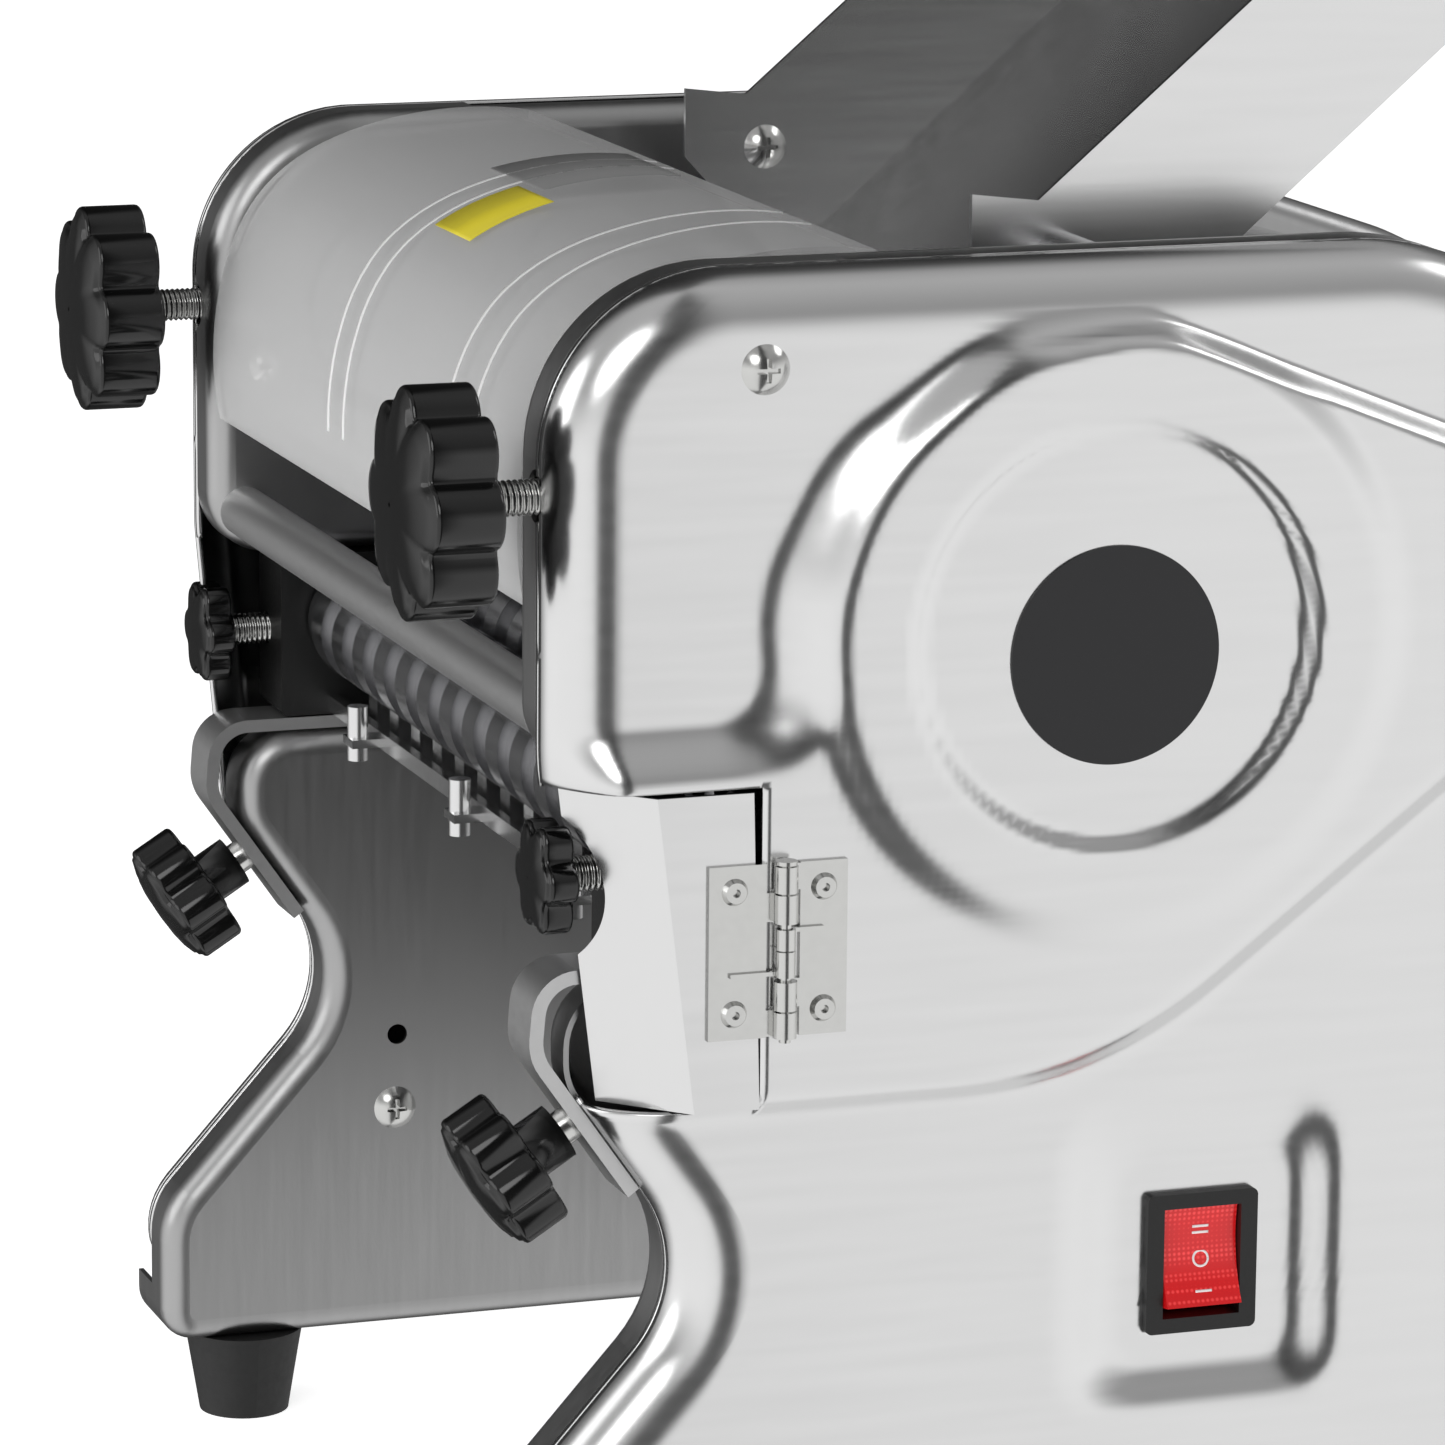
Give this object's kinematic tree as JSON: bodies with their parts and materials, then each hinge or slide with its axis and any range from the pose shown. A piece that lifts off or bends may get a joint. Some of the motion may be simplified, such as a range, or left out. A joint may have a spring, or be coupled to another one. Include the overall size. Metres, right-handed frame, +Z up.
{
  "type": "dough sheeter",
  "caption": "Table-top dough sheeter: twin side boxes, two smoothing rollers with gap knobs, clear guard, noodle cutter, sloping chute, side hatch and rocker switch.",
  "frame": {"origin": "middle of the bounding box footprint, on the surface that the rubber feet stand on", "axes": "+X to the side with the switch, +Y to the rear away from the gap knobs, +Z up"},
  "size_m": [0.3176, 0.4004, 0.4414],
  "materials": {
    "aluminium": "satin aluminium",
    "black_plastic": "glossy black phenolic",
    "clear": "clear polycarbonate",
    "matte_black": "matte black",
    "motor_paint": "grey enamel",
    "red_plastic": "translucent red",
    "rubber": "black rubber",
    "stainless": "polished stainless sheet",
    "steel": "machined steel",
    "zinc": "bright zinc-plated steel"
  },
  "bodies": {
    "chassis": {"cover_right": "stainless", "cover_left": "stainless", "inner_panel_right": "stainless", "inner_panel_left": "stainless", "frame_plates": "steel", "slide_guides": "steel", "front_rod": "aluminium", "tie_rods": "steel", "partition": "stainless", "rear_cover": "stainless", "motor_body": "motor_paint", "belt": "rubber", "feet": "rubber", "foot_screws": "zinc", "pan_screws": "zinc", "guard": "clear", "chute": "stainless", "chute_bushes": "steel", "cutter_blocks": "matte_black", "cutter_comb": "stainless", "idler_stub": "steel", "clamp_straps": "aluminium", "hinge_leaf_fixed": "zinc", "hinge_pin": "zinc", "spring_fixed": "zinc", "rivets_fixed": "zinc", "switch_bezel": "matte_black", "power_inlet": "matte_black", "badge": "black_plastic", "scrapers": "stainless"},
    "rear_roller_set": {"rear_roller": "steel", "rear_drive_gear": "steel", "rear_pair_gear": "steel"},
    "front_roller_set": {"front_roller": "steel", "front_pair_gear": "steel"},
    "carriage": {"carriage_blocks": "steel"},
    "gap_screw_set_left": {"gap_screw_left": "zinc", "gap_knob_left": "black_plastic"},
    "gap_screw_set_right": {"gap_screw_right": "zinc", "gap_knob_right": "black_plastic"},
    "countershaft_set": {"countershaft": "steel", "drum_pulley": "steel"},
    "motor_rotor": {"motor_shaft": "steel", "motor_pulley": "steel"},
    "idler": {"idler_gear": "steel"},
    "cutter_front": {"cutter_front_roller": "steel"},
    "cutter_rear": {"cutter_rear_roller": "steel"},
    "lock_slide_left": {"lock_stud_left": "zinc"},
    "lock_turn_left": {"lock_knob_left": "black_plastic"},
    "lock_slide_right": {"lock_stud_right": "zinc"},
    "lock_turn_right": {"lock_knob_right": "black_plastic"},
    "clamp_slide_left": {"clamp_stud_left": "zinc"},
    "clamp_turn_left": {"clamp_knob_left": "black_plastic"},
    "clamp_slide_right": {"clamp_stud_right": "zinc"},
    "clamp_turn_right": {"clamp_knob_right": "black_plastic"},
    "hatch_door": {"hatch": "stainless", "hinge_leaf_moving": "zinc", "spring_moving": "zinc", "rivets_moving": "zinc"},
    "rocker": {"switch_rocker": "red_plastic"}
  },
  "joints": [
    {"name": "rear_roller_spin", "type": "hinge", "parent": "chassis", "child": "rear_roller_set", "pos_m": [-0.0003, -0.07026, 0.276], "axis": [1, 0, 0], "continuous": true},
    {"name": "countershaft_spin", "type": "hinge", "parent": "chassis", "child": "countershaft_set", "pos_m": [-0.0003, -0.0448, 0.2445], "axis": [1, 0, 0], "continuous": true},
    {"name": "roller_gap", "type": "slide", "parent": "chassis", "child": "carriage", "axis": [0, -1, 0], "range_m": [-0.0015, 0.003]},
    {"name": "front_roller_spin", "type": "hinge", "parent": "carriage", "child": "front_roller_set", "pos_m": [-0.0003, -0.12026, 0.276], "axis": [1, 0, 0], "continuous": true},
    {"name": "gap_knob_left", "type": "hinge", "parent": "carriage", "child": "gap_screw_set_left", "pos_m": [-0.1343, -0.1818, 0.2766], "axis": [0, -1, 0], "range_deg": [-433, 865]},
    {"name": "gap_knob_right", "type": "hinge", "parent": "carriage", "child": "gap_screw_set_right", "pos_m": [0.1337, -0.1818, 0.2766], "axis": [0, -1, 0], "range_deg": [-433, 865]},
    {"name": "motor_spin", "type": "hinge", "parent": "chassis", "child": "motor_rotor", "pos_m": [-0.0003, 0.0542, 0.251], "axis": [1, 0, 0], "continuous": true},
    {"name": "idler_spin", "type": "hinge", "parent": "chassis", "child": "idler", "pos_m": [0.1367, -0.0722, 0.2167], "axis": [1, 0, 0], "continuous": true},
    {"name": "cutter_front_spin", "type": "hinge", "parent": "chassis", "child": "cutter_front", "pos_m": [-0.0003, -0.1338, 0.201], "axis": [1, 0, 0], "continuous": true},
    {"name": "cutter_rear_spin", "type": "hinge", "parent": "chassis", "child": "cutter_rear", "pos_m": [-0.0003, -0.10984, 0.20972], "axis": [1, 0, 0], "continuous": true},
    {"name": "lock_travel_left", "type": "slide", "parent": "chassis", "child": "lock_slide_left", "axis": [0, -1, 0], "range_m": [0, 0.006]},
    {"name": "lock_knob_left", "type": "hinge", "parent": "lock_slide_left", "child": "lock_turn_left", "pos_m": [-0.1338, -0.1668, 0.1965], "axis": [0, -1, 0], "range_deg": [-1, 1729]},
    {"name": "clamp_travel_left", "type": "slide", "parent": "chassis", "child": "clamp_slide_left", "axis": [0, -0.848, -0.5299], "range_m": [0, 0.004]},
    {"name": "clamp_knob_left", "type": "hinge", "parent": "clamp_slide_left", "child": "clamp_turn_left", "pos_m": [-0.1288, -0.1594, 0.1415], "axis": [0, -0.848, -0.5299], "range_deg": [-1, 1153]},
    {"name": "lock_travel_right", "type": "slide", "parent": "chassis", "child": "lock_slide_right", "axis": [0, -1, 0], "range_m": [0, 0.006]},
    {"name": "lock_knob_right", "type": "hinge", "parent": "lock_slide_right", "child": "lock_turn_right", "pos_m": [0.1332, -0.1668, 0.1965], "axis": [0, -1, 0], "range_deg": [-1, 1729]},
    {"name": "clamp_travel_right", "type": "slide", "parent": "chassis", "child": "clamp_slide_right", "axis": [0, -0.848, -0.5299], "range_m": [0, 0.004]},
    {"name": "clamp_knob_right", "type": "hinge", "parent": "clamp_slide_right", "child": "clamp_turn_right", "pos_m": [0.1282, -0.1594, 0.1415], "axis": [0, -0.848, -0.5299], "range_deg": [-1, 1153]},
    {"name": "hatch_swing", "type": "hinge", "parent": "chassis", "child": "hatch_door", "pos_m": [0.1563, -0.1215, 0.18], "axis": [0, 0, 1], "range_deg": [0, 95], "stiffness_Nm_per_rad": 0.02, "springref_deg": -20.05},
    {"name": "rocker_tilt", "type": "hinge", "parent": "chassis", "child": "rocker", "pos_m": [0.1392, -0.0218, 0.104], "axis": [0, 1, 0], "range_deg": [0, 20]}
  ],
  "couplings": [
    {"joint": "countershaft_spin", "follows": "rear_roller_spin", "ratio": -2},
    {"joint": "front_roller_spin", "follows": "rear_roller_spin", "ratio": -1},
    {"joint": "idler_spin", "follows": "rear_roller_spin", "ratio": 1.0588},
    {"joint": "cutter_rear_spin", "follows": "rear_roller_spin", "ratio": -2.1176},
    {"joint": "cutter_front_spin", "follows": "rear_roller_spin", "ratio": 2.1176},
    {"joint": "motor_spin", "follows": "rear_roller_spin", "ratio": -6.875},
    {"joint": "gap_knob_left", "follows": "roller_gap", "rad_per_m": 5026.5},
    {"joint": "lock_knob_left", "follows": "lock_travel_left", "rad_per_m": 5026.5},
    {"joint": "clamp_knob_left", "follows": "clamp_travel_left", "rad_per_m": 5026.5},
    {"joint": "gap_knob_right", "follows": "roller_gap", "rad_per_m": 5026.5},
    {"joint": "lock_knob_right", "follows": "lock_travel_right", "rad_per_m": 5026.5},
    {"joint": "clamp_knob_right", "follows": "clamp_travel_right", "rad_per_m": 5026.5}
  ]
}
